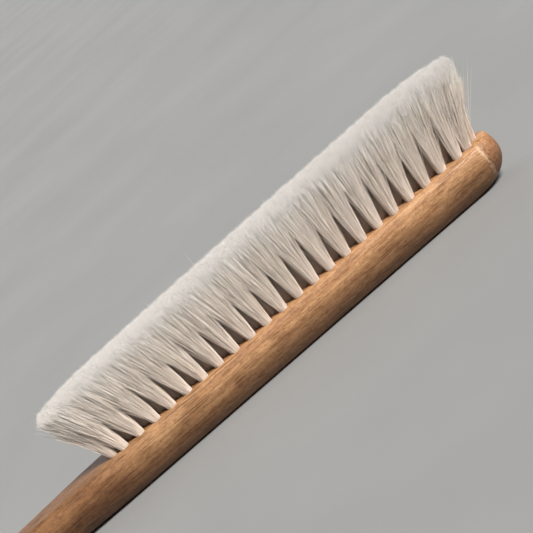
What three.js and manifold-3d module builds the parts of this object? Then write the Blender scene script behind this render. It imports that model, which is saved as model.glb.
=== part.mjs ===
// A bee brush: a one-piece wooden stock, drilled with three staggered rows of blind holes, and a
// tuft of soft hair in every hole. Millimetres, +Z up. The brush lies on the flat back of its stock
// with the hair pointing up, +X towards the free end of the head and -X towards the handle's end.
import * as THREE from "three";
import { mergeVertices } from "three/addons/utils/BufferGeometryUtils.js";
import Module from "manifold-3d";

const wasm = await Module();
wasm.setup();
const { lerp, smoothstep } = THREE.MathUtils;

// ---- Driving dimensions. x = 0 is the middle of the hair field, until the last lines. ----

const GAP = 0.3; // clearance between two pieces
const CUT_THROUGH = 1; // how far a drill goes on beyond a surface

// Hair field
const PITCH = 10.5; // between neighbouring tufts of one row
const OUTER_ROW_TUFTS = 22;
const ROW_SPACING = 7.15; // from the middle row to either outer row
const END_PAIR_STEP = 6.75; // the outer rows turn in at both ends: from the last tuft on to its end tuft
const END_PAIR_Y = 5.2; // from the middle row to either of those end tufts
const HEAD_END_TUFT_STEP = 11.6; // on to the single tuft that closes the round at the head's end
const HOLE_RADIUS = 3;
const HOLE_DEPTH = 12;

// Hair above the face. The field of tips is trimmed to a low crown that rises towards the head.
const TIP_HEIGHT = 42.1; // in the middle of the field
const TIP_RISE = 1.8; // from the middle to the head's end, before the crown is taken off
const TIP_CROWN = 0.5; // how far the crown falls from the middle to either end
const TIP_END_FALL = 4; // further fall over the rounded ends of the field
const TIP_END_SHARE = 0.3; // the share of the half length that those ends take
const TIP_HALF_WIDTH = 14.5; // of the whole field of tips
const TIP_HALF_LENGTH = 140;
const END_TIP_HALF_WIDTH = 7.5; // of the single tuft at the head's end

// How the hair leans along the brush, from its root to its tip
const UPRIGHT_X = 12; // the hair here stands straight up
const LEAN = 0.1; // millimetres more for each millimetre further from there
const FLARE_LENGTH = 28; // at both ends of the field the hair flares out over this length
const HANDLE_FLARE = 3.5; // the outermost hair leans this much more at the handle's end
const HEAD_FLARE = 5.5; // and this much more at the head's end

// Stock
const STOCK_LENGTH = 400;
const HEAD_THICKNESS = 24;
const HEAD_HALF_WIDTH = 14;
const HEAD_END_MARGIN = 20.7; // from an outer row's last tuft to the free end of the head
const FACE_END_MARGIN = 2.1; // from the last hole to where the flat face ends, at the handle
const BACK_RISE_MARGIN = 22; // how far before the end of the face the back leaves its flat
const NECK_LENGTH = 75; // from the end of the face to the slimmest part of the neck
const GRIP_INSET = 30; // from the end of the handle to the fullest part of the grip
const HANG_HOLE_RADIUS = 4;
const HANG_HOLE_INSET = 14; // from the end of the handle to the middle of the hang hole

// ---- Places worked out from them ----

const OUTER_ROW_END = ((OUTER_ROW_TUFTS - 1) / 2) * PITCH;
const HEAD_END = OUTER_ROW_END + HEAD_END_MARGIN;
const HANDLE_END = HEAD_END - STOCK_LENGTH;
const END_PAIR_X = OUTER_ROW_END + END_PAIR_STEP;
const HEAD_END_TUFT_X = OUTER_ROW_END + HEAD_END_TUFT_STEP;
const FACE_END = -(END_PAIR_X + HOLE_RADIUS + FACE_END_MARGIN);

// Cross-sections of the stock: half the width, the height of the back and of the face, and the
// width and height of the elliptical corners. The head's back is domed with a narrow flat.
const HEAD = {
  halfWidth: HEAD_HALF_WIDTH,
  back: 0,
  face: HEAD_THICKNESS,
  backCorner: [10.5, 15],
  faceCorner: [4.5, 9],
};
const NECK = {
  halfWidth: 12,
  back: 2.2,
  face: 22.8,
  backCorner: [9, 11],
  faceCorner: [7.5, 8.5],
};
const GRIP = {
  halfWidth: 13,
  back: 1.4,
  face: 22.6,
  backCorner: [9.8, 10.6],
  faceCorner: [9.4, 9.8],
};
const NECK_START = FACE_END;
const BACK_RISE_START = FACE_END + BACK_RISE_MARGIN;
const NECK_MIDDLE = FACE_END - NECK_LENGTH;
const GRIP_MIDDLE = HANDLE_END + GRIP_INSET;

// Rounded ends of the stock: radius of the end in plan, how far in front of the full width the
// rounding starts, and how much the back and the face draw in towards the end.
const NOSE = { radius: 14.4, crease: 3.4, backReach: 19, faceReach: 2.5 };
const BUTT = { radius: 13, crease: 0, backReach: 9.8, faceReach: 9.4 };

const CORNER_STEPS = 5;
const END_STEPS = 7;
const HANDLE_SECTIONS = 16; // cross-sections between the rounded end of the handle and the head
const HEAD_SECTIONS = 10; // cross-sections of the head up to its rounded end
const TUFT_SIDES = 8;
const HANG_HOLE_SIDES = 20;
const SECTION_GAP = 1; // between the first ring of a rounded end and the next cross-section

// ---- Meshes ----

function evenPlaces(from, to, count) {
  return Array.from({ length: count }, (_, i) => lerp(from, to, i / (count - 1)));
}

// A closed geometry from rings of equal length, capped at both ends unless a ring is closed up.
function loftGeometry(rings) {
  const sides = rings[0].length;
  const index = [];
  for (let r = 0; r + 1 < rings.length; r++) {
    for (let i = 0; i < sides; i++) {
      const a = r * sides + i;
      const b = r * sides + ((i + 1) % sides);
      index.push(a, b, b + sides, a, b + sides, a + sides);
    }
  }
  const last = (rings.length - 1) * sides;
  for (let i = 1; i + 1 < sides; i++) {
    index.push(0, i + 1, i);
    index.push(last, last + i, last + i + 1);
  }
  const geometry = new THREE.BufferGeometry().setFromPoints(rings.flat());
  geometry.setIndex(index);
  return geometry;
}

// The same surface with its shared vertices merged and the triangles that closed up left out.
function weldedGeometry(geometry) {
  const bare = geometry.clone();
  bare.deleteAttribute("normal");
  bare.deleteAttribute("uv");
  const welded = mergeVertices(bare, 1e-4);
  const index = welded.index.array;
  const kept = [];
  for (let i = 0; i < index.length; i += 3) {
    const [a, b, c] = [index[i], index[i + 1], index[i + 2]];
    if (a !== b && b !== c && c !== a) kept.push(a, b, c);
  }
  return welded.setIndex(kept);
}

function solidOf(geometry) {
  const welded = weldedGeometry(geometry);
  return new wasm.Manifold(
    new wasm.Mesh({
      numProp: 3,
      vertProperties: new Float32Array(welded.attributes.position.array),
      triVerts: new Uint32Array(welded.index.array),
    }),
  );
}

function geometryOf(solid) {
  const { vertProperties, triVerts, numProp } = solid.getMesh();
  const points = [];
  for (let i = 0; i < vertProperties.length; i += numProp) {
    points.push(new THREE.Vector3().fromArray(vertProperties, i));
  }
  const geometry = new THREE.BufferGeometry().setFromPoints(points);
  return geometry.setIndex(Array.from(triVerts));
}

function namedMesh(name, solid, look) {
  const geometry = geometryOf(solid);
  geometry.computeVertexNormals();
  const mesh = new THREE.Mesh(geometry, new THREE.MeshStandardMaterial(look));
  mesh.name = name;
  return mesh;
}

const WOOD = { color: 0xbb8552, roughness: 0.5, metalness: 0 };
const HAIR = { color: 0xd8d0c6, roughness: 0.9, metalness: 0 };

// ---- Stock ----

function blendNumbers(from, to, amount) {
  return Array.isArray(from)
    ? from.map((value, i) => lerp(value, to[i], amount))
    : lerp(from, to, amount);
}

// The cross-section of the stock at x, blended from head to neck to grip.
function sectionAt(x) {
  const section = {};
  for (const part of Object.keys(HEAD)) {
    const start = part.startsWith("back") ? BACK_RISE_START : NECK_START;
    const neck = smoothstep(start - x, 0, start - NECK_MIDDLE);
    const grip = smoothstep(NECK_MIDDLE - x, 0, NECK_MIDDLE - GRIP_MIDDLE);
    const narrowed = blendNumbers(HEAD[part], NECK[part], neck);
    section[part] = blendNumbers(narrowed, GRIP[part], grip);
  }
  return section;
}

// The outline of a section, from the back up the +Y side to the face and down the other side.
// Each point also has the share, 0 to 1, that it has gone in round its corner.
function outlineOf({ halfWidth, back, face, backCorner, faceCorner }) {
  const turns = evenPlaces(0, Math.PI / 2, CORNER_STEPS + 1);
  const backPoints = turns.map((turn) => ({
    y: halfWidth - backCorner[0] * (1 - Math.sin(turn)),
    z: back + backCorner[1] * (1 - Math.cos(turn)),
    backShare: 1 - Math.sin(turn),
    faceShare: 0,
  }));
  const facePoints = turns.map((turn) => ({
    y: halfWidth - faceCorner[0] * (1 - Math.cos(turn)),
    z: face - faceCorner[1] * (1 - Math.sin(turn)),
    backShare: 0,
    faceShare: 1 - Math.cos(turn),
  }));
  const half = [...backPoints, ...facePoints];
  const mirrored = half.map((point) => ({ ...point, y: -point.y }));
  return [...half, ...mirrored.reverse()];
}

// Rings from the full section to the closed end at endX, which faces along +X or -X.
function endRings(endX, facing, end) {
  const firstTurn = Math.asin(end.crease / end.radius);
  const reach = end.radius - end.crease + Math.max(end.backReach, end.faceReach);
  const outline = outlineOf(sectionAt(endX - facing * reach));
  const rings = [];
  for (let i = 0; i <= END_STEPS; i++) {
    const turn = lerp(firstTurn, Math.PI / 2, i / END_STEPS);
    const width = i < END_STEPS ? Math.cos(turn) / Math.cos(firstTurn) : 0;
    const depth = end.radius * (1 - Math.sin(turn));
    rings.push(
      outline.map(({ y, z, backShare, faceShare }) => {
        const drawnIn = end.backReach * backShare + end.faceReach * faceShare;
        return new THREE.Vector3(endX - facing * (drawnIn + depth), y * width, z);
      }),
    );
  }
  return rings;
}

function sectionRing(x) {
  return outlineOf(sectionAt(x)).map(({ y, z }) => new THREE.Vector3(x, y, z));
}

// A straight prism along Z that stands for a drill.
function drill(x, y, bottom, top, radius, sides) {
  const geometry = new THREE.CylinderGeometry(radius, radius, top - bottom, sides);
  geometry.rotateX(Math.PI / 2);
  geometry.rotateZ(Math.PI / sides);
  geometry.translate(x, y, (bottom + top) / 2);
  return solidOf(geometry);
}

function stockSolid(places) {
  const buttStart = HANDLE_END + BUTT.radius + BUTT.backReach + SECTION_GAP;
  const noseStart = HEAD_END - NOSE.radius + NOSE.crease - NOSE.backReach - SECTION_GAP;
  const headStart = BACK_RISE_START + 2 * PITCH;
  const rings = [
    ...endRings(HANDLE_END, -1, BUTT).reverse(),
    ...evenPlaces(buttStart, BACK_RISE_START, HANDLE_SECTIONS).map(sectionRing),
    ...evenPlaces(headStart, noseStart, HEAD_SECTIONS).map(sectionRing),
    ...endRings(HEAD_END, 1, NOSE),
  ];
  let solid = solidOf(loftGeometry(rings));
  const floor = HEAD_THICKNESS - HOLE_DEPTH;
  const top = HEAD_THICKNESS + CUT_THROUGH;
  for (const { x, y } of places) {
    solid = solid.subtract(drill(x, y, floor, top, HOLE_RADIUS, TUFT_SIDES));
  }
  const hangX = HANDLE_END + HANG_HOLE_INSET;
  const hangDrill = drill(hangX, 0, -CUT_THROUGH, top, HANG_HOLE_RADIUS, HANG_HOLE_SIDES);
  return solid.subtract(hangDrill);
}

// ---- Hair tufts ----

const TUFT_RADIUS = HOLE_RADIUS - GAP;
const MIDDLE_TIP_HALF_WIDTH = TIP_HALF_WIDTH / 3 - GAP / 2;
const OUTER_TIP_HALF_WIDTH = (TIP_HALF_WIDTH - MIDDLE_TIP_HALF_WIDTH - GAP) / 2;
const FIELD_START = -(END_PAIR_X + TUFT_RADIUS);
const FIELD_END = HEAD_END_TUFT_X + TUFT_RADIUS;
const CELL_GAP = 2 * GAP; // between the tips of neighbouring tufts of a row
const WEB = { length: 3, width: 4, height: 6, below: 2 };
const RING_RISES = [0.2, 0.5, 0.8, 1]; // shares of the hair's height where a tuft has a ring
const SPREAD_POWER = 1.2; // above 1, a tuft widens faster near its root than near its tip
const ROOT_SQUARENESS = 2;
const TIP_SQUARENESS = 5;

// A ring of a tuft: an ellipse at squareness 2, and closer to a rectangle the higher that is.
function tuftRing(centre, halfX, halfY, squareness, heightAt) {
  const ring = [];
  for (let i = 0; i < TUFT_SIDES; i++) {
    const turn = ((i + 0.5) / TUFT_SIDES) * 2 * Math.PI;
    const along = Math.cos(turn);
    const across = Math.sin(turn);
    const x = centre.x + Math.sign(along) * Math.abs(along) ** (2 / squareness) * halfX;
    const y = centre.y + Math.sign(across) * Math.abs(across) ** (2 / squareness) * halfY;
    ring.push(new THREE.Vector3(x, y, heightAt(x)));
  }
  return ring;
}

// Where the tip of the hair ends up whose root is at x.
function tipX(x) {
  const flare = x > 0 ? HEAD_FLARE : -HANDLE_FLARE;
  const pastEnd = x > 0 ? x - FIELD_END : FIELD_START - x;
  const endShare = Math.max(0, pastEnd / FLARE_LENGTH + 1);
  return x + LEAN * (x - UPRIGHT_X) + flare * endShare ** 3;
}

// The height of the trimmed tips above the back of the stock.
function tipHeight(x) {
  const share = x / TIP_HALF_LENGTH;
  const endShare = Math.max(0, (Math.abs(share) - 1) / TIP_END_SHARE + 1);
  const crown = TIP_RISE * share - TIP_CROWN * share ** 2 - TIP_END_FALL * endShare ** 2;
  return HEAD_THICKNESS + TIP_HEIGHT + crown;
}

// A tuft from the bottom of its hole to its cell of the field of tips.
function tuftSolid(root, cell) {
  const bottom = HEAD_THICKNESS - HOLE_DEPTH + GAP;
  const round = (z) => tuftRing(root, TUFT_RADIUS, TUFT_RADIUS, ROOT_SQUARENESS, () => z);
  const rings = [round(bottom), round(HEAD_THICKNESS)];
  for (const rise of RING_RISES) {
    const spread = 1 - (1 - rise) ** SPREAD_POWER;
    const centre = { x: lerp(root.x, cell.x, rise), y: lerp(root.y, cell.y, rise) };
    const halfX = lerp(TUFT_RADIUS, cell.halfX, spread);
    const halfY = lerp(TUFT_RADIUS, cell.halfY, spread);
    const heightAt = (x) => lerp(HEAD_THICKNESS, tipHeight(lerp(cell.x, x, rise)), rise);
    const squareness = lerp(ROOT_SQUARENESS, TIP_SQUARENESS, rise);
    rings.push(tuftRing(centre, halfX, halfY, squareness, heightAt));
  }
  return solidOf(loftGeometry(rings));
}

// A tuft whose tips fill the field from where hair rooted at one x ends up to where another does.
function fannedTuft(root, from, to) {
  const start = tipX(from) + CELL_GAP / 2;
  const end = tipX(to) - CELL_GAP / 2;
  const cell = { x: (start + end) / 2, y: root.tipY, halfX: (end - start) / 2, halfY: root.tipHalfY };
  return tuftSolid(root, cell);
}

// One row of tufts as solids. Neighbouring cells meet halfway between their roots.
function rowSolids(roots, endReach) {
  return roots.map((root, i) => {
    const from = i > 0 ? (roots[i - 1].x + root.x) / 2 : root.x - endReach;
    const to = i + 1 < roots.length ? (root.x + roots[i + 1].x) / 2 : root.x + endReach;
    return fannedTuft(root, from, to);
  });
}

function rowOfRoots(end, count, root) {
  return evenPlaces(-end, end, count).map((x) => ({ x, ...root }));
}

// An outer row, on side -1 or 1. Its first and last tufts stand further in, and their tips take
// the whole side of the field.
function outerRow(side) {
  const endRoot = {
    y: side * END_PAIR_Y,
    tipY: (side * TIP_HALF_WIDTH) / 2,
    tipHalfY: (TIP_HALF_WIDTH - GAP) / 2,
  };
  const root = {
    y: side * ROW_SPACING,
    tipY: side * (TIP_HALF_WIDTH - OUTER_TIP_HALF_WIDTH),
    tipHalfY: OUTER_TIP_HALF_WIDTH,
  };
  return [
    { x: -END_PAIR_X, ...endRoot },
    ...rowOfRoots(OUTER_ROW_END, OUTER_ROW_TUFTS, root),
    { x: END_PAIR_X, ...endRoot },
  ];
}

const nearRow = outerRow(-1);
const farRow = outerRow(1);
const middleRoot = { y: 0, tipY: 0, tipHalfY: MIDDLE_TIP_HALF_WIDTH };
const middleRow = rowOfRoots(OUTER_ROW_END - PITCH / 2, OUTER_ROW_TUFTS - 1, middleRoot);
const headEndRoot = { x: HEAD_END_TUFT_X, y: 0, tipY: 0, tipHalfY: END_TIP_HALF_WIDTH };

const numbered = (i) => String(i + 1).padStart(2, "0");

function outerRowMeshes(name, row) {
  return rowSolids(row, TUFT_RADIUS).map((solid, i) => {
    return namedMesh(`${name}_row_tuft_${numbered(i)}`, solid, HAIR);
  });
}

// Hair that crosses the gap between two neighbours of the middle row, just below their tips.
function tipWeb(first, second) {
  const rootX = (first.x + second.x) / 2;
  const depth = WEB.below + WEB.height / 2;
  const x = lerp(tipX(rootX), rootX, depth / TIP_HEIGHT);
  const geometry = new THREE.BoxGeometry(WEB.length, WEB.width, WEB.height);
  return solidOf(geometry.translate(x, 0, tipHeight(x) - depth));
}

// The middle row's tufts go two to a mesh, and three to the last, joined by crossing hair.
function middleRowMeshes() {
  const solids = rowSolids(middleRow, PITCH / 2);
  const meshes = [];
  for (let first = 0; first + 1 < solids.length; first += 2) {
    const last = first + 3 === solids.length ? first + 2 : first + 1;
    let group = solids[first];
    for (let i = first + 1; i <= last; i++) {
      group = group.add(solids[i]).add(tipWeb(middleRow[i - 1], middleRow[i]));
    }
    meshes.push(namedMesh(`middle_row_tufts_${numbered(first)}_${numbered(last)}`, group, HAIR));
  }
  return meshes;
}

// The single tuft at the head's end fans out beyond the tips of the outer rows.
function headEndTuftMesh() {
  const solid = fannedTuft(headEndRoot, END_PAIR_X + TUFT_RADIUS + CELL_GAP, FIELD_END);
  return namedMesh("head_end_tuft", solid, HAIR);
}

// ---- The brush, with its origin under the middle of its bounding box ----

const brush = new THREE.Group();
brush.add(namedMesh("stock", stockSolid([...nearRow, ...farRow, ...middleRow, headEndRoot]), WOOD));
brush.add(...outerRowMeshes("near", nearRow));
brush.add(...outerRowMeshes("far", farRow));
brush.add(...middleRowMeshes());
brush.add(headEndTuftMesh());

const bounds = new THREE.Box3().setFromObject(brush);
brush.position.x = -(bounds.min.x + bounds.max.x) / 2;

const beeBrush = new THREE.Group();
beeBrush.add(brush);

export default beeBrush;
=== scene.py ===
# The looks of the bee brush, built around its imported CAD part. Shapes are worked out in millimetres
# with x = 0 at the middle of the hair field, and go into the frame, in metres, when a mesh is made.
import math

import bmesh
import bpy
import numpy as np
from mathutils import Matrix, Vector


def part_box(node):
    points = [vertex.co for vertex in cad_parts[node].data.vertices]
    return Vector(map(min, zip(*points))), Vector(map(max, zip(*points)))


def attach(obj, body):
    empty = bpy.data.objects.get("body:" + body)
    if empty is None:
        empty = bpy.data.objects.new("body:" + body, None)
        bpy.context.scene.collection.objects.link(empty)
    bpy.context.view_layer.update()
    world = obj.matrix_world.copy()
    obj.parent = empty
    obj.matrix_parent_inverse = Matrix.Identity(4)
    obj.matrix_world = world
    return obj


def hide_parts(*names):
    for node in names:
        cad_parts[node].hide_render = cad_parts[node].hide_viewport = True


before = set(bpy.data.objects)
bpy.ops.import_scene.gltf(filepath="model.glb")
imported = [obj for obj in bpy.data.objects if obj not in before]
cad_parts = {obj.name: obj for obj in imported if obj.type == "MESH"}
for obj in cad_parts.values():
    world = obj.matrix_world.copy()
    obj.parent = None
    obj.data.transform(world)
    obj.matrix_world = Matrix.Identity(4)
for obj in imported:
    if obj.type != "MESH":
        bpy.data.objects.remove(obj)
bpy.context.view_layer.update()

MM = 0.001

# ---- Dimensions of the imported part, in millimetres ----

# Hair field
GAP = 0.3  # between a tuft and its hole
PITCH = 10.5  # between neighbouring tufts of one row
OUTER_ROW_TUFTS = 22  # evenly spaced, besides an end tuft at either end
MIDDLE_ROW_TUFTS = OUTER_ROW_TUFTS - 1  # halfway between those
ROW_SPACING = 7.15  # from the middle row to either outer row
END_PAIR_STEP = 6.75  # from an outer row's last even tuft on to its end tuft
END_PAIR_Y = 5.2  # from the middle row to either end tuft
HEAD_END_TUFT_STEP = 11.6  # on to the single tuft that closes the round at the head's end
HOLE_RADIUS = 3
HOLE_DEPTH = 12
TIP_HEIGHT = 42.1  # in the middle of the field
TIP_RISE = 1.8  # from the middle to the head's end, before the crown is taken off
TIP_CROWN = 0.5  # how far the crown falls from the middle to either end
HEAD_TIP_FALL = 4  # further fall over the rounded end of the field at the head
TIP_END_SHARE = 0.3  # the share of the half length that either rounded end takes
TIP_HALF_WIDTH = 14.5
TIP_HALF_LENGTH = 140
UPRIGHT_X = 12  # the hair here stands straight up
LEAN = 0.1  # millimetres more for each millimetre further from there
FLARE_LENGTH = 28  # at both ends of the field the hair flares out over this length
HANDLE_FLARE = 3.5
HEAD_FLARE = 5.5

# Stock
STOCK_LENGTH = 400
FACE = 24  # height of the face of the head above its back
HEAD_END_MARGIN = 20.7  # from an outer row's last even tuft to the free end of the head
FACE_END_MARGIN = 2.1  # from the last hole to where the flat face ends, at the handle
BACK_RISE_MARGIN = 22  # how far before the end of the face the back leaves its flat
NECK_LENGTH = 75  # from the end of the face to the slimmest part of the neck
GRIP_INSET = 30  # from the end of the handle to the fullest part of the grip
HANG_HOLE_RADIUS = 4
HANG_HOLE_INSET = 14  # from the end of the handle to the middle of the hang hole

# Places along the brush
OUTER_ROW_END = (OUTER_ROW_TUFTS - 1) / 2 * PITCH
HEAD_END = OUTER_ROW_END + HEAD_END_MARGIN
HANDLE_END = HEAD_END - STOCK_LENGTH
END_PAIR_X = OUTER_ROW_END + END_PAIR_STEP
HEAD_END_TUFT_X = OUTER_ROW_END + HEAD_END_TUFT_STEP
TUFT_RADIUS = HOLE_RADIUS - GAP
FIELD_START = -(END_PAIR_X + TUFT_RADIUS)
FIELD_END = HEAD_END_TUFT_X + TUFT_RADIUS
FACE_END = -(END_PAIR_X + HOLE_RADIUS + FACE_END_MARGIN)

# Cross-sections of the stock, each corner as its width and height, and its two rounded ends
HEAD = {"half_width": 14, "back": 0, "face": FACE, "back_corner": (10.5, 15), "face_corner": (4.5, 9)}
NECK = {"half_width": 12, "back": 2.2, "face": 22.8, "back_corner": (9, 11), "face_corner": (7.5, 8.5)}
GRIP = {"half_width": 13, "back": 1.4, "face": 22.6, "back_corner": (9.8, 10.6), "face_corner": (9.4, 9.8)}
NECK_START = FACE_END
BACK_RISE_START = FACE_END + BACK_RISE_MARGIN
NECK_MIDDLE = FACE_END - NECK_LENGTH
GRIP_MIDDLE = HANDLE_END + GRIP_INSET
NOSE = {"radius": 14.4, "crease": 3.4, "back_reach": 19, "face_reach": 2.5}
BUTT = {"radius": 13, "crease": 0, "back_reach": 9.8, "face_reach": 9.4}

# Where x = 0 of the hair field is in the frame
FIELD_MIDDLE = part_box("stock")[1][0] / MM - HEAD_END


def lerp(start, end, share):
    return start + (end - start) * share


def smoothstep(value, start, end):
    share = np.clip((value - start) / (end - start), 0, 1)
    return share * share * (3 - 2 * share)


# ---- Meshes ----


def add_mesh(name, points, faces, smooth=True):
    """A mesh object from millimetre points and faces that all have the same number of corners."""
    sides = faces.shape[1]
    mesh = bpy.data.meshes.new(name)
    mesh.vertices.add(len(points))
    placed = (np.asarray(points, float) + (FIELD_MIDDLE, 0, 0)) * MM
    mesh.vertices.foreach_set("co", placed.astype(np.float32).ravel())
    mesh.loops.add(faces.size)
    mesh.loops.foreach_set("vertex_index", faces.astype(np.int32).ravel())
    mesh.polygons.add(len(faces))
    mesh.polygons.foreach_set("loop_start", np.arange(len(faces), dtype=np.int32) * sides)
    mesh.polygons.foreach_set("use_smooth", np.full(len(faces), smooth))
    mesh.update(calc_edges=True)
    mesh.validate()
    piece = bpy.data.objects.new(name, mesh)
    bpy.context.scene.collection.objects.link(piece)
    return piece


def tube_faces(tubes, rings, sides):
    """Quads along many tubes whose points are in order of tube, ring and side."""
    tube, ring, side = np.meshgrid(np.arange(tubes), np.arange(rings - 1), np.arange(sides), indexing="ij")
    first = (tube * rings + ring) * sides
    after = (side + 1) % sides
    corners = [first + side, first + after, first + sides + after, first + sides + side]
    return np.stack(corners, axis=-1).reshape(-1, 4)


def apply_modifiers(piece):
    """The piece's mesh becomes what its modifiers make of it."""
    evaluated = piece.evaluated_get(bpy.context.evaluated_depsgraph_get())
    mesh = bpy.data.meshes.new_from_object(evaluated)
    piece.modifiers.clear()
    piece.data = mesh


# ---- Materials ----

WHITE = (1.0, 1.0, 1.0)
GROWTH_LINE_COLOUR = (0.17, 0.065, 0.024)
FLECK_COLOUR = (0.20, 0.085, 0.035)
END_GRAIN_COLOUR = (0.34, 0.160, 0.074)
NOSE_LINE_COLOUR = (0.72, 0.51, 0.33)

# The colour sockets of a mix node, by number because sockets of other kinds have the same names
MIX_FIRST = 6
MIX_SECOND = 7
MIX_RESULT = 2

GROWTH_LINES = 9  # for each full swing of the noise that they follow

# Painted shade, standing in for shadow: the wood darkens between these places along the brush, towards
# the handle. Low on the stock, where the painted shade by height is dark already, this counts less: all of
# it counts above the second share of the height.
PAINTED_SHADE_START = -160
PAINTED_SHADE_END = 60
PAINTED_SHADE_HEIGHTS = (0.25, 0.5)
PAINTED_SHADE_RAGGEDNESS = 6

# The light line round the nose, and the end grain that starts at it, in millimetres
NOSE_RAGGEDNESS = 4
NOSE_DEPTHS = (0.5, 4)  # below the face, where both start and where both are full
NOSE_LINE_FADE = (0.5, 1.6)  # from its middle, where it starts to fade and where it has faded
END_GRAIN_BLEND = 1.5


def new_material(name):
    material = bpy.data.materials.new(name)
    material.use_nodes = True
    return material, material.node_tree, material.node_tree.nodes["Principled BSDF"]


def plug(tree, socket, value):
    """Gives a node's input another node's output, a colour or a number."""
    if isinstance(value, bpy.types.NodeSocket):
        tree.links.new(value, socket)
    else:
        socket.default_value = (*value, 1) if isinstance(value, tuple) else value


def colour_ramp(tree, share, stops):
    """A colour for each value of share, from stops of place and colour."""
    node = tree.nodes.new("ShaderNodeValToRGB")
    tree.links.new(share, node.inputs["Fac"])
    elements = node.color_ramp.elements
    elements.remove(elements[1])
    elements[0].position = stops[0][0]
    elements[0].color = (*stops[0][1], 1)
    for place, colour in stops[1:]:
        elements.new(place).color = (*colour, 1)
    return node.outputs["Color"]


def mix_colours(tree, blend, share, first, second):
    node = tree.nodes.new("ShaderNodeMix")
    node.data_type = "RGBA"
    node.blend_type = blend
    plug(tree, node.inputs["Factor"], share)
    plug(tree, node.inputs[MIX_FIRST], first)
    plug(tree, node.inputs[MIX_SECOND], second)
    return node.outputs[MIX_RESULT]


def map_range(tree, value, low, high, to_low=0.0, to_high=1.0):
    node = tree.nodes.new("ShaderNodeMapRange")
    tree.links.new(value, node.inputs["Value"])
    node.inputs["From Min"].default_value = low
    node.inputs["From Max"].default_value = high
    node.inputs["To Min"].default_value = to_low
    node.inputs["To Max"].default_value = to_high
    return node.outputs["Result"]


def maths(tree, operation, *values):
    node = tree.nodes.new("ShaderNodeMath")
    node.operation = operation
    for socket, value in zip(node.inputs, values):
        plug(tree, socket, value)
    return node.outputs[0]


def product(tree, first, second):
    return maths(tree, "MULTIPLY", first, second)


def axes_of(tree, vector):
    node = tree.nodes.new("ShaderNodeSeparateXYZ")
    tree.links.new(vector, node.inputs["Vector"])
    return node.outputs


def object_place(tree):
    return tree.nodes.new("ShaderNodeTexCoord").outputs["Object"]


def noise(tree, place, cycles, detail=2.0, roughness=0.5, distortion=0.0):
    """Noise with so many cycles per metre along each axis."""
    scaled = tree.nodes.new("ShaderNodeMapping")
    tree.links.new(place, scaled.inputs["Vector"])
    scaled.inputs["Scale"].default_value = cycles
    node = tree.nodes.new("ShaderNodeTexNoise")
    tree.links.new(scaled.outputs["Vector"], node.inputs["Vector"])
    node.inputs["Scale"].default_value = 1
    node.inputs["Detail"].default_value = detail
    node.inputs["Roughness"].default_value = roughness
    node.inputs["Distortion"].default_value = distortion
    return node.outputs["Fac"]


def wood_material():
    """Oiled beech: grain, growth lines and flecks, end grain on the nose, and painted shade that darkens
    it low down and towards the handle.
    """
    material, tree, shader = new_material("oiled_beech")
    place = object_place(tree)
    fibres = noise(tree, place, (60, 1300, 1300), 5, 0.7, 0.4)
    mottle = noise(tree, place, (380, 900, 900), 3, 0.65, 0.8)
    patches = noise(tree, place, (45, 130, 130), 4, 0.6, 0.5)
    flecks = map_range(tree, noise(tree, place, (190, 1500, 1500), 2, 0.5, 0.6), 0.58, 0.68, 0.0, 0.5)
    colour = grain_colour(tree, place, fibres, mottle, patches)
    colour = mix_colours(tree, "MIX", growth_lines(tree, place, patches), colour, GROWTH_LINE_COLOUR)
    colour = mix_colours(tree, "MIX", flecks, colour, FLECK_COLOUR)
    colour = end_grain(tree, place, colour)
    # painted shade: darker low on the stock and towards the handle
    colour = mix_colours(tree, "MULTIPLY", 1.0, colour, painted_shade_tone(tree, place, patches))
    plug(tree, shader.inputs["Base Color"], colour)
    plug(tree, shader.inputs["Roughness"], map_range(tree, mottle, 0.3, 0.7, 0.60, 0.44))
    shader.inputs["Specular IOR Level"].default_value = 0.4
    bump = tree.nodes.new("ShaderNodeBump")
    bump.inputs["Strength"].default_value = 0.35
    bump.inputs["Distance"].default_value = 0.14 * MM
    tree.links.new(maths(tree, "SUBTRACT", fibres, product(tree, flecks, 0.5)), bump.inputs["Height"])
    tree.links.new(bump.outputs["Normal"], shader.inputs["Normal"])
    return material


def grain_colour(tree, place, fibres, mottle, patches):
    bands = noise(tree, place, (9, 170, 240), 3, 0.55, 0.5)
    colour = colour_ramp(tree, bands, (
        (0.32, (0.44, 0.226, 0.103)),
        (0.50, (0.52, 0.282, 0.133)),
        (0.68, (0.57, 0.325, 0.160)),
    ))
    for share, dark, light in (
        (fibres, (0.60, 0.51, 0.44), (1.13, 1.14, 1.14)),
        (mottle, (0.70, 0.64, 0.58), (1.15, 1.16, 1.17)),
        (patches, (0.82, 0.77, 0.72), (1.07, 1.07, 1.07)),
    ):
        tone = colour_ramp(tree, share, ((0.32, dark), (0.50, WHITE), (0.68, light)))
        colour = mix_colours(tree, "MULTIPLY", 1.0, colour, tone)
    return colour


def growth_lines(tree, place, patches):
    """How much of each point is one of the thin dark lines that wander along the grain."""
    wander = noise(tree, place, (11, 210, 260), 2, 0.5, 0.7)
    strands = maths(tree, "FRACT", product(tree, wander, GROWTH_LINES))
    off_line = maths(tree, "ABSOLUTE", maths(tree, "SUBTRACT", strands, 0.5))
    lines = map_range(tree, off_line, 0.03, 0.15, 0.8, 0.0)
    return product(tree, lines, map_range(tree, patches, 0.42, 0.62, 0.9, 0.1))


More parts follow.
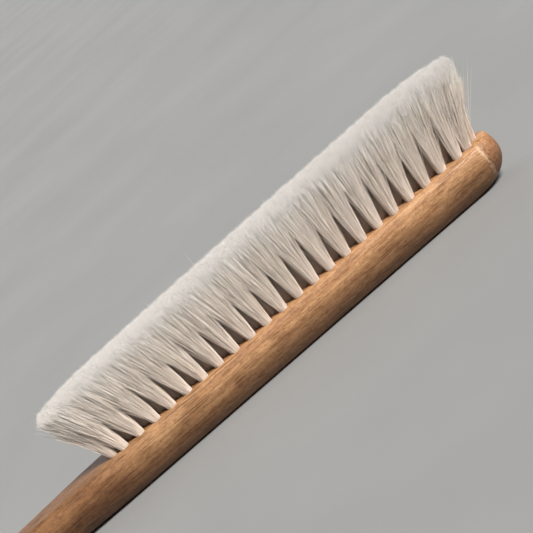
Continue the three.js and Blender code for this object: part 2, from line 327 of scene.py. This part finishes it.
def painted_shade_tone(tree, place, patches):
    """Painted shade: the lower sides, the back and the handle darker than the head's face, where light
    falls away and shadow falls.
    """
    axes = axes_of(tree, place)
    uneven = product(tree, maths(tree, "SUBTRACT", patches, 0.5), PAINTED_SHADE_RAGGEDNESS * MM)
    height = maths(tree, "ADD", axes["Z"], uneven)
    # painted shade: darker towards the bottom of the stock, where the light falls away
    tone = colour_ramp(tree, map_range(tree, height, 0.0, FACE * MM), (
        (0.20, (0.36, 0.33, 0.31)),
        (0.42, (0.48, 0.44, 0.42)),
        (0.62, (0.75, 0.73, 0.71)),
        (0.78, WHITE),
    ))
    # painted shadow: darker towards the handle
    start = (FIELD_MIDDLE + PAINTED_SHADE_START) * MM
    end = (FIELD_MIDDLE + PAINTED_SHADE_END) * MM
    along = colour_ramp(tree, map_range(tree, axes["X"], start, end), (
        (0.12, (0.48, 0.42, 0.37)),
        (0.21, (0.72, 0.69, 0.66)),
        (0.36, (0.80, 0.79, 0.77)),
        (0.52, (0.90, 0.89, 0.88)),
        (1.00, WHITE),
    ))
    low, high = np.array(PAINTED_SHADE_HEIGHTS) * FACE * MM
    share = map_range(tree, height, low, high, 0.4, 1.0)
    return mix_colours(tree, "MULTIPLY", share, tone, along)


def end_grain(tree, place, colour):
    """Redder speckled end grain round the nose, and a light line where the rounding starts."""
    axes = axes_of(tree, place)
    start, full = NOSE_DEPTHS
    below_face = map_range(tree, axes["Z"], (FACE - start) * MM, (FACE - full) * MM)
    ragged = noise(tree, place, (500, 350, 350), 3)
    uneven = product(tree, maths(tree, "SUBTRACT", ragged, 0.5), NOSE_RAGGEDNESS * MM)
    edge = maths(tree, "ADD", axes["X"], uneven)
    crease = (FIELD_MIDDLE + HEAD_END - NOSE["radius"] + NOSE["crease"]) * MM
    end_share = map_range(tree, edge, crease, crease + END_GRAIN_BLEND * MM, 0.0, 0.9)
    end_share = product(tree, end_share, below_face)
    colour = mix_colours(tree, "MIX", end_share, colour, speckled(tree, place, END_GRAIN_COLOUR))
    off_line = maths(tree, "ABSOLUTE", maths(tree, "SUBTRACT", edge, crease))
    fading, faded = NOSE_LINE_FADE
    line_share = map_range(tree, off_line, fading * MM, faded * MM, 0.9, 0.0)
    line_share = product(tree, line_share, map_range(tree, ragged, 0.38, 0.58))
    line_share = product(tree, line_share, below_face)
    return mix_colours(tree, "MIX", line_share, colour, NOSE_LINE_COLOUR)


def speckled(tree, place, colour):
    speckle = noise(tree, place, (900, 1500, 700), 3, 0.65)
    tone = colour_ramp(tree, speckle, (
        (0.35, (0.46, 0.40, 0.36)),
        (0.52, WHITE),
        (0.68, (1.30, 1.38, 1.42)),
    ))
    return mix_colours(tree, "MULTIPLY", 1.0, colour, tone)


def attribute(tree, name):
    node = tree.nodes.new("ShaderNodeAttribute")
    node.attribute_name = name
    return node.outputs["Fac"]


def hair_material():
    """Pale hair, painted darker and warmer towards its root for the shade and warm bounce light low in the
    tufts, each hair with a tint of its own.
    """
    material, tree, shader = new_material("soft_hair")
    # the hair's pale colour, with painted shade and warm bounce light making it darker and warmer towards
    # the root
    tone_with_painted_root_shade = colour_ramp(tree, attribute(tree, "along"), (
        (0.0, (0.95, 0.82, 0.72)),
        (0.35, (0.945, 0.85, 0.765)),
        (0.75, (0.975, 0.915, 0.85)),
        (0.95, (0.955, 0.935, 0.915)),
    ))
    shade = colour_ramp(tree, attribute(tree, "tint"), (
        (0.0, (0.80, 0.72, 0.62)),
        (0.10, (0.94, 0.91, 0.87)),
        (0.6, (0.99, 0.985, 0.98)),
        (1.0, WHITE),
    ))
    plug(tree, shader.inputs["Base Color"], mix_colours(tree, "MULTIPLY", 1.0, tone_with_painted_root_shade, shade))
    shader.inputs["Roughness"].default_value = 0.5
    shader.inputs["Specular IOR Level"].default_value = 0.35
    return material


def wire_material():
    """Drawn steel wire with fine lines along it."""
    material, tree, shader = new_material("anchor_wire")
    drawn = noise(tree, object_place(tree), (400, 4000, 4000))
    colour = colour_ramp(tree, drawn, ((0.3, (0.42, 0.41, 0.39)), (0.7, (0.60, 0.59, 0.57))))
    plug(tree, shader.inputs["Base Color"], colour)
    plug(tree, shader.inputs["Roughness"], map_range(tree, drawn, 0.3, 0.7, 0.45, 0.3))
    shader.inputs["Metallic"].default_value = 1.0
    return material


# ---- Stock ----

CORNER_STEPS = 14
END_STEPS = 26
RING_STEP = 2.0
SECTION_GAP = 1  # between the first ring of a rounded end and the next cross-section
CHAMFER = 0.3
HANG_HOLE_CHAMFER = 0.9
HOLE_SIDES = 32
HANG_HOLE_SIDES = 48
SHARP_ANGLE = math.radians(32)
MERGE_DISTANCE = 1e-7


def section_at(x):
    """The stock's cross-section at x: that of the head, going over into the neck's and the grip's."""
    section = {}
    for part in HEAD:
        start = BACK_RISE_START if part.startswith("back") else NECK_START
        neck = smoothstep(start - x, 0, start - NECK_MIDDLE)
        grip = smoothstep(NECK_MIDDLE - x, 0, NECK_MIDDLE - GRIP_MIDDLE)
        narrowed = lerp(np.array(HEAD[part], float), np.array(NECK[part], float), neck)
        section[part] = lerp(narrowed, np.array(GRIP[part], float), grip)
    return section


def outline_of(section):
    """Across, height, back share and face share of each point of a section, round from its back."""
    turns = np.linspace(0, math.pi / 2, CORNER_STEPS + 1)
    none = np.zeros_like(turns)
    width, height = section["back_corner"]
    back_y = section["half_width"] - width * (1 - np.sin(turns))
    back_z = section["back"] + height * (1 - np.cos(turns))
    width, height = section["face_corner"]
    face_y = section["half_width"] - width * (1 - np.cos(turns))
    face_z = section["face"] - height * (1 - np.sin(turns))
    half = np.concatenate([
        np.stack([back_y, back_z, 1 - np.sin(turns), none], axis=1),
        np.stack([face_y, face_z, none, 1 - np.cos(turns)], axis=1),
    ])
    mirrored = half[::-1] * (-1, 1, 1, 1)
    return np.concatenate([half, mirrored])


def section_ring(x):
    outline = outline_of(section_at(x))
    return np.stack([np.full(len(outline), x), outline[:, 0], outline[:, 1]], axis=1)


def end_rings(end_x, facing, end):
    """The rings of a rounded end, from where its rounding starts to its tip."""
    first_turn = math.asin(end["crease"] / end["radius"])
    reach = end["radius"] - end["crease"] + max(end["back_reach"], end["face_reach"])
    y, z, back_share, face_share = outline_of(section_at(end_x - facing * reach)).T
    drawn_in = end["back_reach"] * back_share + end["face_reach"] * face_share
    rings = []
    for turn in np.linspace(first_turn, math.pi / 2, END_STEPS + 1):
        width = math.cos(turn) / math.cos(first_turn)
        depth = end["radius"] * (1 - math.sin(turn))
        rings.append(np.stack([end_x - facing * (drawn_in + depth), y * width, z], axis=1))
    return rings


def stock_shell():
    """The outside of the stock, from the tip of the handle to the tip of the nose, open at both."""
    butt_start = HANDLE_END + BUTT["radius"] + BUTT["back_reach"] + SECTION_GAP
    nose_start = HEAD_END - NOSE["radius"] + NOSE["crease"] - NOSE["back_reach"] - SECTION_GAP
    middle = np.linspace(butt_start, nose_start, round((nose_start - butt_start) / RING_STEP) + 1)
    rings = [
        *reversed(end_rings(HANDLE_END, -1, BUTT)),
        *(section_ring(x) for x in middle),
        *end_rings(HEAD_END, 1, NOSE),
    ]
    return add_mesh("wooden_stock", np.concatenate(rings), tube_faces(1, len(rings), len(rings[0])))


def drill_points(x, y, profile, sides):
    """Rings of points round (x, y) for a profile of radius and height."""
    turns = (np.arange(sides) + 0.5) / sides * 2 * math.pi
    rings = [
        np.stack([x + radius * np.cos(turns), y + radius * np.sin(turns), np.full(sides, z)], axis=1)
        for radius, z in profile
    ]
    return np.concatenate(rings)


def add_drills(name, places, profile, sides):
    """One cutter with a drill of the same profile at each of the places."""
    points = np.concatenate([drill_points(x, y, profile, sides) for x, y in places])
    cutter = add_mesh(name, points, tube_faces(len(places), len(profile), sides))
    close_ends(cutter)
    return cutter


def close_ends(piece):
    """Fills the open ends of a piece's tubes, and turns its faces outwards."""
    shape = bmesh.new()
    shape.from_mesh(piece.data)
    bmesh.ops.remove_doubles(shape, verts=shape.verts, dist=MERGE_DISTANCE)
    bmesh.ops.holes_fill(shape, edges=[edge for edge in shape.edges if edge.is_boundary])
    bmesh.ops.recalc_face_normals(shape, faces=shape.faces)
    shape.to_mesh(piece.data)
    shape.free()


def cut(piece, cutter):
    boolean = piece.modifiers.new("cut", "BOOLEAN")
    boolean.operation = "DIFFERENCE"
    boolean.solver = "EXACT"
    boolean.object = cutter
    apply_modifiers(piece)
    bpy.data.objects.remove(cutter)


def drill_tuft_holes(stock, places):
    profile = (
        (HOLE_RADIUS, FACE - HOLE_DEPTH),
        (HOLE_RADIUS, FACE - CHAMFER),
        (HOLE_RADIUS + 2 * CHAMFER, FACE + CHAMFER),
    )
    cut(stock, add_drills("tuft_drills", places, profile, HOLE_SIDES))


def drill_hang_hole(stock):
    x = HANDLE_END + HANG_HOLE_INSET
    grip = section_at(x)
    rim = HANG_HOLE_CHAMFER
    profile = (
        (HANG_HOLE_RADIUS + 2 * rim, grip["back"] - rim),
        (HANG_HOLE_RADIUS, grip["back"] + rim),
        (HANG_HOLE_RADIUS, grip["face"] - rim),
        (HANG_HOLE_RADIUS + 2 * rim, grip["face"] + rim),
    )
    cut(stock, add_drills("hang_drill", [(x, 0)], profile, HANG_HOLE_SIDES))


def build_stock(places):
    stock = stock_shell()
    close_ends(stock)
    drill_tuft_holes(stock, places)
    drill_hang_hole(stock)
    for polygon in stock.data.polygons:
        polygon.use_smooth = True
    stock.data.set_sharp_from_angle(angle=SHARP_ANGLE)
    return stock


# ---- Hair ----

HAIRS_PER_TUFT = 1200
TOP_HAIRS_PER_TUFT = 1400  # they only show near the tips, where the field is dense
TOP_HAIR_START = 4  # the ring of a whole hair where a top hair starts
HAIR_SIDES = 3
HAIR_RADIUS = 0.09
HAIR_RISES = np.array([0, 0.18, 0.40, 0.62, 0.83, 1.0])  # shares of its height where a hair has a ring
TAPER_START = 0.8
TIP_RADIUS_SHARE = 0.12
THICKNESSES = (0.8, 1.15)  # the range of a hair's thickness, as a share of the usual one

# How a tuft spreads
SPREAD_POWER = 1.05  # above 1, a tuft widens faster near its root than near its tip
LEAN_POWER = 1.15  # above 1, a tuft leans further near its tip than near its root
RIM_POWER = 0.4  # below 0.5, a tuft has more hair near its rim
MIDDLE_TIP_HALF_WIDTH = TIP_HALF_WIDTH / 3
OUTER_TIP_HALF_WIDTH = (TIP_HALF_WIDTH - MIDDLE_TIP_HALF_WIDTH) / 2
END_PAIR_TIP_HALF_WIDTH = 7.9
HEAD_END_TIP_HALF_WIDTH = 10
CELL_OVERLAP = 1.6  # how far a tuft's tips go over those of its neighbours
END_PAIR_OVERLAP = 3.4
HANDLE_TRIM = 2.4  # how far short of the end of the field the outermost tufts stop
HEAD_TRIM = 4.5
CORNER_LENGTH = 16  # the field of tips narrows over this length at both ends
CORNER_NARROWING = 0.7

# How its tips differ from the part's
MIDDLE_RISE = 0.4
EDGE_FALL = 2.0  # towards both sides
HANDLE_TIP_FALL = 4.2  # over the rounded end of the field at the handle

# How its hairs gather in locks
LOCKS_PER_TUFT = 36
LOCK_CENTRES_SHARE = 0.85  # of the tuft's radius
LOCK_PULL = 0.12
LOCK_PULLS = (0.55, 1.15)  # the range of the pull on a hair, as a share of the usual one
LOCK_PULL_POWER = 0.8  # below 1, the pull starts nearer to the root and stays high for longer
LOCK_BEND = 0.3
WILD_LOCK_SHARE = 0.05
WILD_LOCK_BEND = 1.6
LOCK_BEND_POWER = 1.6  # above 1, a bend grows faster near the tip

# How single hairs stray
HAIR_BEND = 0.55
HAIR_BEND_POWER = 1.8
HAIR_WAVE = 0.16
LOOSE_SHARE = 0.05
LOOSE_BEND = 1.8
LOOSE_BEND_POWER = 1.4
USUAL_LENGTH = 1.012  # as a share of the way from the face to the field of tips, like all lengths
LENGTH_SPREAD = 0.013
SHORT_SHARE = 0.08
SHORT_LENGTHS = (0.7, 0.97)
LONG_SHARE = 0.04
LONG_LENGTHS = (1.02, 1.055)

# The map of the hairs, OFBake, has a strip for each hair
STRIP_SHAPE = 6.5  # how many times as high as wide, before a tuft's two bundles share the height
STRIP_MARGINS = (0.05, 0.02)  # across the strip and along it, as shares of it
TOP_MAP_SHARE = 0.25  # of the map's height, for the top hairs


def tip_x(x):
    """How far along the brush the tips are of hair rooted at x."""
    flare = HEAD_FLARE if x > 0 else -HANDLE_FLARE
    past_end = x - FIELD_END if x > 0 else FIELD_START - x
    end_share = max(0, past_end / FLARE_LENGTH + 1)
    return x + LEAN * (x - UPRIGHT_X) + flare * end_share**3


def tip_height(x, y):
    """How high above the face the tips at (x, y) are."""
    share = x / TIP_HALF_LENGTH
    end_share = np.maximum(0, (np.abs(share) - 1) / TIP_END_SHARE + 1)
    end_fall = np.where(share > 0, HEAD_TIP_FALL, HANDLE_TIP_FALL)
    crown = TIP_RISE * share - TIP_CROWN * share**2 - end_fall * end_share**2
    return TIP_HEIGHT + crown + MIDDLE_RISE - EDGE_FALL * (np.abs(y) / TIP_HALF_WIDTH) ** 4


def disc_points(rng, count, outward=0.5):
    """Points in the unit disc: evenly for outward 0.5, and more of them near the rim for less."""
    turn = rng.uniform(0, 2 * math.pi, count)
    radius = rng.uniform(0, 1, count) ** outward
    return np.stack([radius * np.cos(turn), radius * np.sin(turn)], axis=1)


def squared(disc):
    """The unit disc stretched along its rays to the unit square."""
    radius = np.linalg.norm(disc, axis=1, keepdims=True)
    return disc * radius / np.maximum(np.abs(disc).max(axis=1, keepdims=True), 1e-6)


def hair_paths(tuft, disc):
    """Where each hair of a tuft is at each of HAIR_RISES, along the brush and across it."""
    rises = HAIR_RISES[None, :, None]
    square = squared(disc)[:, None, :]
    reach_x = np.where(square[..., 0] < 0, tuft["reach_back"], tuft["reach_on"])
    reach = np.stack([reach_x, np.full_like(reach_x, tuft["half_y"])], axis=-1)
    root = np.array(tuft["root"])
    tip = np.array(tuft["tip"])
    narrowing = np.ones_like(reach)
    narrowing[..., 1] = corner_width(tip[0] + (square * reach)[..., 0])
    spread = 1 - (1 - rises) ** SPREAD_POWER
    middle = lerp(root, tip * narrowing, rises**LEAN_POWER)
    return middle + lerp(disc[:, None, :] * TUFT_RADIUS, square * reach * narrowing, spread)


def corner_width(x):
    """The share of the field's width that the tips take at x: less where its corners are rounded."""
    start, end = tip_x(FIELD_START), tip_x(FIELD_END)
    past = np.maximum(start + CORNER_LENGTH - x, x - end + CORNER_LENGTH) / CORNER_LENGTH
    return np.sqrt(1 - CORNER_NARROWING * np.clip(past, 0, 1) ** 2)


def draw_into_locks(rng, paths, lock_paths):
    """Hairs drawn towards the middles of their locks, most of all halfway up."""
    rises = HAIR_RISES[None, :, None]
    pull = LOCK_PULL * rng.uniform(*LOCK_PULLS, (len(paths), 1, 1))
    return lerp(paths, lock_paths, pull * np.sin(math.pi * rises**LOCK_PULL_POWER) ** LOCK_PULL_POWER)


def lock_bends(rng):
    rises = HAIR_RISES[None, :, None]
    wild = rng.uniform(0, 1, (LOCKS_PER_TUFT, 1, 1)) < WILD_LOCK_SHARE
    bend = np.where(wild, WILD_LOCK_BEND, LOCK_BEND)
    return rng.normal(0, 1, (LOCKS_PER_TUFT, 1, 2)) * bend * rises**LOCK_BEND_POWER


def hair_bends(rng, count):
    rises = HAIR_RISES[None, :, None]
    bend = rng.normal(0, HAIR_BEND, (count, 1, 2)) * rises**HAIR_BEND_POWER
    wave = rng.normal(0, HAIR_WAVE, (count, 1, 2)) * np.sin(2 * math.pi * rises)
    is_loose = rng.uniform(0, 1, (count, 1, 1)) < LOOSE_SHARE
    loose = is_loose * rng.normal(0, LOOSE_BEND, (count, 1, 2)) * rises**LOOSE_BEND_POWER
    return bend + wave + loose


def hair_lengths(rng, count):
    lengths = USUAL_LENGTH + rng.normal(0, LENGTH_SPREAD, count)
    for share, some_lengths in ((SHORT_SHARE, SHORT_LENGTHS), (LONG_SHARE, LONG_LENGTHS)):
        chosen = rng.uniform(0, 1, count) < share
        lengths = np.where(chosen, rng.uniform(*some_lengths, count), lengths)
    return lengths


def tuft_paths(rng, tuft, count):
    """The points of so many of a tuft's hairs, from the bottom of the hole to the tips."""
    disc = disc_points(rng, count, RIM_POWER)
    lock_centres = disc_points(rng, LOCKS_PER_TUFT) * LOCK_CENTRES_SHARE
    lock = np.linalg.norm(disc[:, None] - lock_centres[None], axis=2).argmin(axis=1)
    paths = draw_into_locks(rng, hair_paths(tuft, disc), hair_paths(tuft, lock_centres)[lock])
    paths = paths + lock_bends(rng)[lock]
    paths = paths + hair_bends(rng, count)
    tips = paths[:, -1]
    heights = (tip_height(tips[:, 0], tips[:, 1]) * hair_lengths(rng, count))[:, None] * HAIR_RISES
    above = np.concatenate([paths, FACE + heights[..., None]], axis=2)
    bottom = np.concatenate([paths[:, :1], np.full((count, 1, 1), FACE - HOLE_DEPTH + GAP)], axis=2)
    return np.concatenate([bottom, above], axis=1)


def hair_radii():
    """The radius at each ring, from the bottom of the hole to the tip."""
    taper = np.clip((HAIR_RISES - TAPER_START) / (1 - TAPER_START), 0, 1)
    above = HAIR_RADIUS * lerp(1, TIP_RADIUS_SHARE, taper)
    return np.concatenate([[HAIR_RADIUS], above])


def strip_uvs(hairs, rings):
    """Where the corners of the hairs' faces are in a map, with a strip of its own for each hair."""
    rows = max(1, round(math.sqrt(hairs / STRIP_SHAPE)))
    columns = math.ceil(hairs / rows)
    hair, ring, side, corner = np.meshgrid(
        np.arange(hairs), np.arange(rings - 1), np.arange(HAIR_SIDES), np.arange(4), indexing="ij")
    across = (side + np.isin(corner, (1, 2))) / HAIR_SIDES
    along = (ring + (corner >= 2)) / (rings - 1)
    side_margin, end_margin = STRIP_MARGINS
    u = (hair % columns + lerp(side_margin, 1 - side_margin, across)) / columns
    v = (hair // columns + lerp(end_margin, 1 - end_margin, along)) / rows
    return np.stack([u, v], axis=-1).reshape(-1, 2)


def hair_bundle(rng, paths, radii, map_start, map_end):
    """The points and faces of hairs along paths, and what their points and corners carry."""
    hairs, rings = paths.shape[:2]
    turns = np.arange(HAIR_SIDES) / HAIR_SIDES * 2 * math.pi + rng.uniform(0, 2 * math.pi, (hairs, 1, 1))
    thickness = radii[None, :, None] * rng.uniform(*THICKNESSES, (hairs, 1, 1))
    points = np.repeat(paths[:, :, None, :], HAIR_SIDES, axis=2)
    points[..., :2] += np.stack([np.cos(turns) * thickness, np.sin(turns) * thickness], axis=-1)
    return {
        "points": points.reshape(-1, 3),
        "faces": tube_faces(hairs, rings, HAIR_SIDES),
        "along": np.clip((points[..., 2].ravel() - FACE) / TIP_HEIGHT, 0, 1),
        "tint": np.repeat(rng.uniform(0, 1, hairs), rings * HAIR_SIDES),
        "map": strip_uvs(hairs, rings) * (1, map_end - map_start) + (0, map_start),
    }


def add_hair(name, bundles):
    """A piece of hair from bundles, which keeps what their points and corners carry."""
    first_points = np.cumsum([0] + [len(bundle["points"]) for bundle in bundles])
    points = np.concatenate([bundle["points"] for bundle in bundles])
    faces = np.concatenate([bundle["faces"] + first for bundle, first in zip(bundles, first_points)])
    piece = add_mesh(name, points, faces)
    for key in ("along", "tint"):
        values = np.concatenate([bundle[key] for bundle in bundles])
        layer = piece.data.attributes.new(key, "FLOAT", "POINT")
        layer.data.foreach_set("value", values.astype(np.float32))
    uv = piece.data.uv_layers.new(name="OFBake")
    corners = np.concatenate([bundle["map"] for bundle in bundles])
    uv.data.foreach_set("uv", corners.astype(np.float32).ravel())
    return piece


def fanned_tuft(root, tip_y, half_y, start, end, overlap_back, overlap_on):
    """A tuft whose tips reach from where hair rooted at start ends up to where that of end does,
    and on over the tips of its neighbours by the two overlaps."""
    start, end = tip_x(start), tip_x(end)
    half = (end - start) / 2
    return {
        "root": root,
        "tip": ((start + end) / 2, tip_y),
        "half_y": half_y,
        "reach_back": half + overlap_back,
        "reach_on": half + overlap_on,
    }


def outer_row_of_tufts(roots, side):
    """The tufts of an outer row. Its end tufts are wider, and the first one ends the field."""
    tufts = []
    last = len(roots) - 1
    for i, (x, y) in enumerate(roots):
        start = x - TUFT_RADIUS if i == 0 else (roots[i - 1][0] + x) / 2
        end = x + TUFT_RADIUS if i == last else (x + roots[i + 1][0]) / 2
        half_y = END_PAIR_TIP_HALF_WIDTH if i in (0, last) else OUTER_TIP_HALF_WIDTH
        tip_y = side * (TIP_HALF_WIDTH - half_y)
        overlap_back = {0: -HANDLE_TRIM, last: END_PAIR_OVERLAP}.get(i, CELL_OVERLAP)
        overlap_on = END_PAIR_OVERLAP if i == 0 else CELL_OVERLAP
        tufts.append(fanned_tuft((x, y), tip_y, half_y, start, end, overlap_back, overlap_on))
    return tufts


def middle_row_of_tufts(roots):
    """The tufts of the middle row, each over one pitch."""
    return [
        fanned_tuft(
            (x, y), 0, MIDDLE_TIP_HALF_WIDTH, x - PITCH / 2, x + PITCH / 2, CELL_OVERLAP, CELL_OVERLAP)
        for x, y in roots
    ]


def head_end_tuft(root):
    """The tuft that closes the round at the head's end, and ends the field there."""
    start = END_PAIR_X + TUFT_RADIUS
    return fanned_tuft(root, 0, HEAD_END_TIP_HALF_WIDTH, start, FIELD_END, END_PAIR_OVERLAP, -HEAD_TRIM)


# ---- Anchors ----

ANCHOR_BITE = 0.3  # how far either end goes into the wood
ANCHOR_LENGTH = 2 * (HOLE_RADIUS + ANCHOR_BITE)
ANCHOR_HEIGHT = 1.6
ANCHOR_THICKNESS = 0.35
ANCHOR_ROUNDING = 0.07
ANCHOR_SAG = 0.7  # how far its middle is pressed down
ANCHOR_RISE = 1.2  # from the bottom of the hole to its ends
ANCHOR_STEPS = 10


def add_anchor(name, x, y):
    """A strip of flat wire pressed across a hole near its bottom, its ends bitten into the wood."""
    share = np.linspace(-1, 1, ANCHOR_STEPS + 1)
    along = share * ANCHOR_LENGTH / 2
    bottom = FACE - HOLE_DEPTH + ANCHOR_RISE - ANCHOR_SAG * (1 - share**2)
    half = ANCHOR_THICKNESS / 2
    diagonal = math.sqrt(0.5)
    corners = ((-half, 0), (half, 0), (half, ANCHOR_HEIGHT), (-half, ANCHOR_HEIGHT))
    # a is along the strip and b across it, both at 45 degrees to the brush
    rings = [
        [(x + (a - b) * diagonal, y + (a + b) * diagonal, z + rise) for b, rise in corners]
        for a, z in zip(along, bottom)
    ]
    piece = add_mesh(name, np.concatenate(rings), tube_faces(1, len(rings), len(corners)), smooth=False)
    close_ends(piece)
    bevel = piece.modifiers.new("worn_edges", "BEVEL")
    bevel.width = ANCHOR_ROUNDING * MM
    bevel.segments = 2
    bevel.limit_method = "ANGLE"
    apply_modifiers(piece)
    return piece


# ---- Stray hairs ----

STRAY_LEAN_POWER = 1.1

# Where single hairs that stand out of a tuft end, from its root
STRAY_ENDS = {
    "head_end": ((23.5, -2, 30), (20, 2, 27), (21.5, -4, 36), (25, 1, 34)),
    "near_row_23": ((22, -7, 38),),
    "far_row_10": ((2, 3, 51.5),),
    "far_row_08": ((-9, 2, 47.5),),
    "far_row_13": ((2, 2, 46.5),),
    "far_row_14": ((7, 3, 46),),
    "near_row_01": ((-20.5, -4, 36), (-17, -2, 42), (-22.5, 2, 34.5)),
    "near_row_02": ((-17, -4, 43.5),),
    "far_row_01": ((-21, 3, 38.5), (-18.5, 5, 41.5)),
}


def stray_paths(root, ends):
    """The points of single hairs from a tuft's root out to the given ends."""
    rises = HAIR_RISES[:, None]
    bottom = (*root, FACE - HOLE_DEPTH + GAP)
    paths = []
    for end in ends:
        across = np.array(root) + np.array(end[:2]) * rises**STRAY_LEAN_POWER
        above = np.concatenate([across, FACE + end[2] * rises], axis=1)
        paths.append(np.concatenate([[bottom], above]))
    return np.array(paths)


# ---- Pieces ----


def finish_piece(piece, material, node):
    """Gives a piece its material and its place in the frame, and hides the CAD node it stands for, if any.
    """
    piece.data.materials.clear()
    piece.data.materials.append(material)
    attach(piece, "root")
    if node:
        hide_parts(node)


def outer_roots(side):
    """Where an outer row's tufts are rooted: evenly, with an end tuft turned in at either end."""
    evenly = np.linspace(-OUTER_ROW_END, OUTER_ROW_END, OUTER_ROW_TUFTS)
    ends = side * END_PAIR_Y
    return [(-END_PAIR_X, ends), *((x, side * ROW_SPACING) for x in evenly), (END_PAIR_X, ends)]


def outer_nodes(row):
    """The CAD node of each tuft of an outer row."""
    return [f"{row}_row_tuft_{i + 1:02d}" for i in range(OUTER_ROW_TUFTS + 2)]


def middle_nodes():
    """The CAD node that holds each tuft of the middle row: two tufts to a node, three in the last."""
    nodes = []
    for i in range(MIDDLE_ROW_TUFTS):
        first = min(i // 2 * 2 + 1, MIDDLE_ROW_TUFTS - 2)
        last = MIDDLE_ROW_TUFTS if first == MIDDLE_ROW_TUFTS - 2 else first + 1
        nodes.append(f"middle_row_tufts_{first:02d}_{last:02d}")
    return nodes


def add_tuft(name, node, tuft, seed):
    """The hair of one tuft, and the wire anchor that holds it in its hole."""
    rng = np.random.default_rng(seed)
    radii = hair_radii()
    whole = tuft_paths(rng, tuft, HAIRS_PER_TUFT)
    top = tuft_paths(rng, tuft, TOP_HAIRS_PER_TUFT)[:, TOP_HAIR_START:]
    if name in STRAY_ENDS:
        whole = np.concatenate([whole, stray_paths(tuft["root"], STRAY_ENDS[name])])
    bundles = [
        hair_bundle(rng, whole, radii, 0, 1 - TOP_MAP_SHARE),
        hair_bundle(rng, top, radii[TOP_HAIR_START:], 1 - TOP_MAP_SHARE, 1),
    ]
    finish_piece(add_hair(f"{name}_hair", bundles), hair, node)
    finish_piece(add_anchor(f"{name}_anchor", *tuft["root"]), wire, None)


def add_row(row, tufts, nodes, seed):
    for i, (tuft, node) in enumerate(zip(tufts, nodes)):
        add_tuft(f"{row}_row_{i + 1:02d}", node, tuft, [seed, i])


near_roots = outer_roots(-1)
far_roots = outer_roots(1)
middle_row_end = OUTER_ROW_END - PITCH / 2
middle_roots = [(x, 0) for x in np.linspace(-middle_row_end, middle_row_end, MIDDLE_ROW_TUFTS)]
head_end_root = (HEAD_END_TUFT_X, 0)

wood = wood_material()
hair = hair_material()
wire = wire_material()

stock = build_stock([*near_roots, *far_roots, *middle_roots, head_end_root])
finish_piece(stock, wood, "stock")
add_row("near", outer_row_of_tufts(near_roots, -1), outer_nodes("near"), 0)
add_row("middle", middle_row_of_tufts(middle_roots), middle_nodes(), 1)
add_row("far", outer_row_of_tufts(far_roots, 1), outer_nodes("far"), 2)
add_tuft("head_end", "head_end_tuft", head_end_tuft(head_end_root), [3, 0])


# ---- Camera, light and floor ----

# Places of the camera and the lights are in the frame, in metres
ELEVATION = math.radians(14.2)
ROLL = math.radians(41)
AIM = Vector((0.06647, 0, 0.04425))
DISTANCE = 0.9
FRAME_WIDTH = 0.2665  # of what the camera sees at its aim
SENSOR = 36
KEY = {"from": (1.1, -1.35, 1.7), "strength": 4.9, "softness": 20, "colour": (1, 0.985, 0.96)}
FILL = {"from": (-0.6, 1.5, 0.7), "strength": 0.9, "softness": 80, "colour": (1, 1, 1)}
FLOOR_HALF_SIDE = 6000  # in millimetres, as it is a mesh


def add_camera():
    data = bpy.data.cameras.new("camera")
    data.sensor_width = SENSOR
    data.lens = SENSOR * DISTANCE / FRAME_WIDTH
    data.clip_start = 0.01
    data.clip_end = 20
    camera = bpy.data.objects.new("camera", data)
    bpy.context.scene.collection.objects.link(camera)
    back = Vector((0, -math.cos(ELEVATION), math.sin(ELEVATION)))
    level_up = Vector((0, math.sin(ELEVATION), math.cos(ELEVATION)))
    right = math.cos(ROLL) * Vector((1, 0, 0)) - math.sin(ROLL) * level_up
    up = math.sin(ROLL) * Vector((1, 0, 0)) + math.cos(ROLL) * level_up
    turn = Matrix((right, up, back)).transposed().to_4x4()
    camera.matrix_world = Matrix.Translation(AIM + back * DISTANCE) @ turn
    bpy.context.scene.camera = camera


def add_light(name, light):
    data = bpy.data.lights.new(name, "SUN")
    data.energy = light["strength"]
    data.angle = math.radians(light["softness"])
    data.color = light["colour"]
    lamp = bpy.data.objects.new(name, data)
    bpy.context.scene.collection.objects.link(lamp)
    lamp.location = light["from"]
    lamp.rotation_mode = "QUATERNION"
    lamp.rotation_quaternion = (-Vector(light["from"])).to_track_quat("-Z", "Y")


def add_floor():
    """A plain floor with the faintest clouding."""
    half = FLOOR_HALF_SIDE
    points = np.array([(-half, -half, 0), (half, -half, 0), (half, half, 0), (-half, half, 0)])
    floor = add_mesh("floor", points, np.array([[0, 1, 2, 3]]))
    material, tree, shader = new_material("pale_floor")
    cloud = noise(tree, object_place(tree), (6, 6, 6), 4)
    plug(tree, shader.inputs["Base Color"], colour_ramp(tree, cloud, (
        (0.3, (0.285, 0.285, 0.282)),
        (0.7, (0.315, 0.315, 0.312)),
    )))
    shader.inputs["Roughness"].default_value = 0.9
    floor.data.materials.append(material)


def add_world():
    """A dim studio that is paler round the horizon, like a backdrop."""
    world = bpy.data.worlds.new("studio")
    world.use_nodes = True
    tree = world.node_tree
    direction = tree.nodes.new("ShaderNodeTexCoord").outputs["Generated"]
    colour = colour_ramp(tree, axes_of(tree, direction)["Z"], (
        (0.0, (0.33, 0.33, 0.33)),
        (0.10, (0.20, 0.20, 0.205)),
        (0.35, (0.085, 0.087, 0.09)),
    ))
    tree.links.new(colour, tree.nodes["Background"].inputs["Color"])
    bpy.context.scene.world = world


add_camera()
add_floor()
add_world()
add_light("key", KEY)
add_light("fill", FILL)
bpy.context.scene.view_settings.view_transform = "Standard"
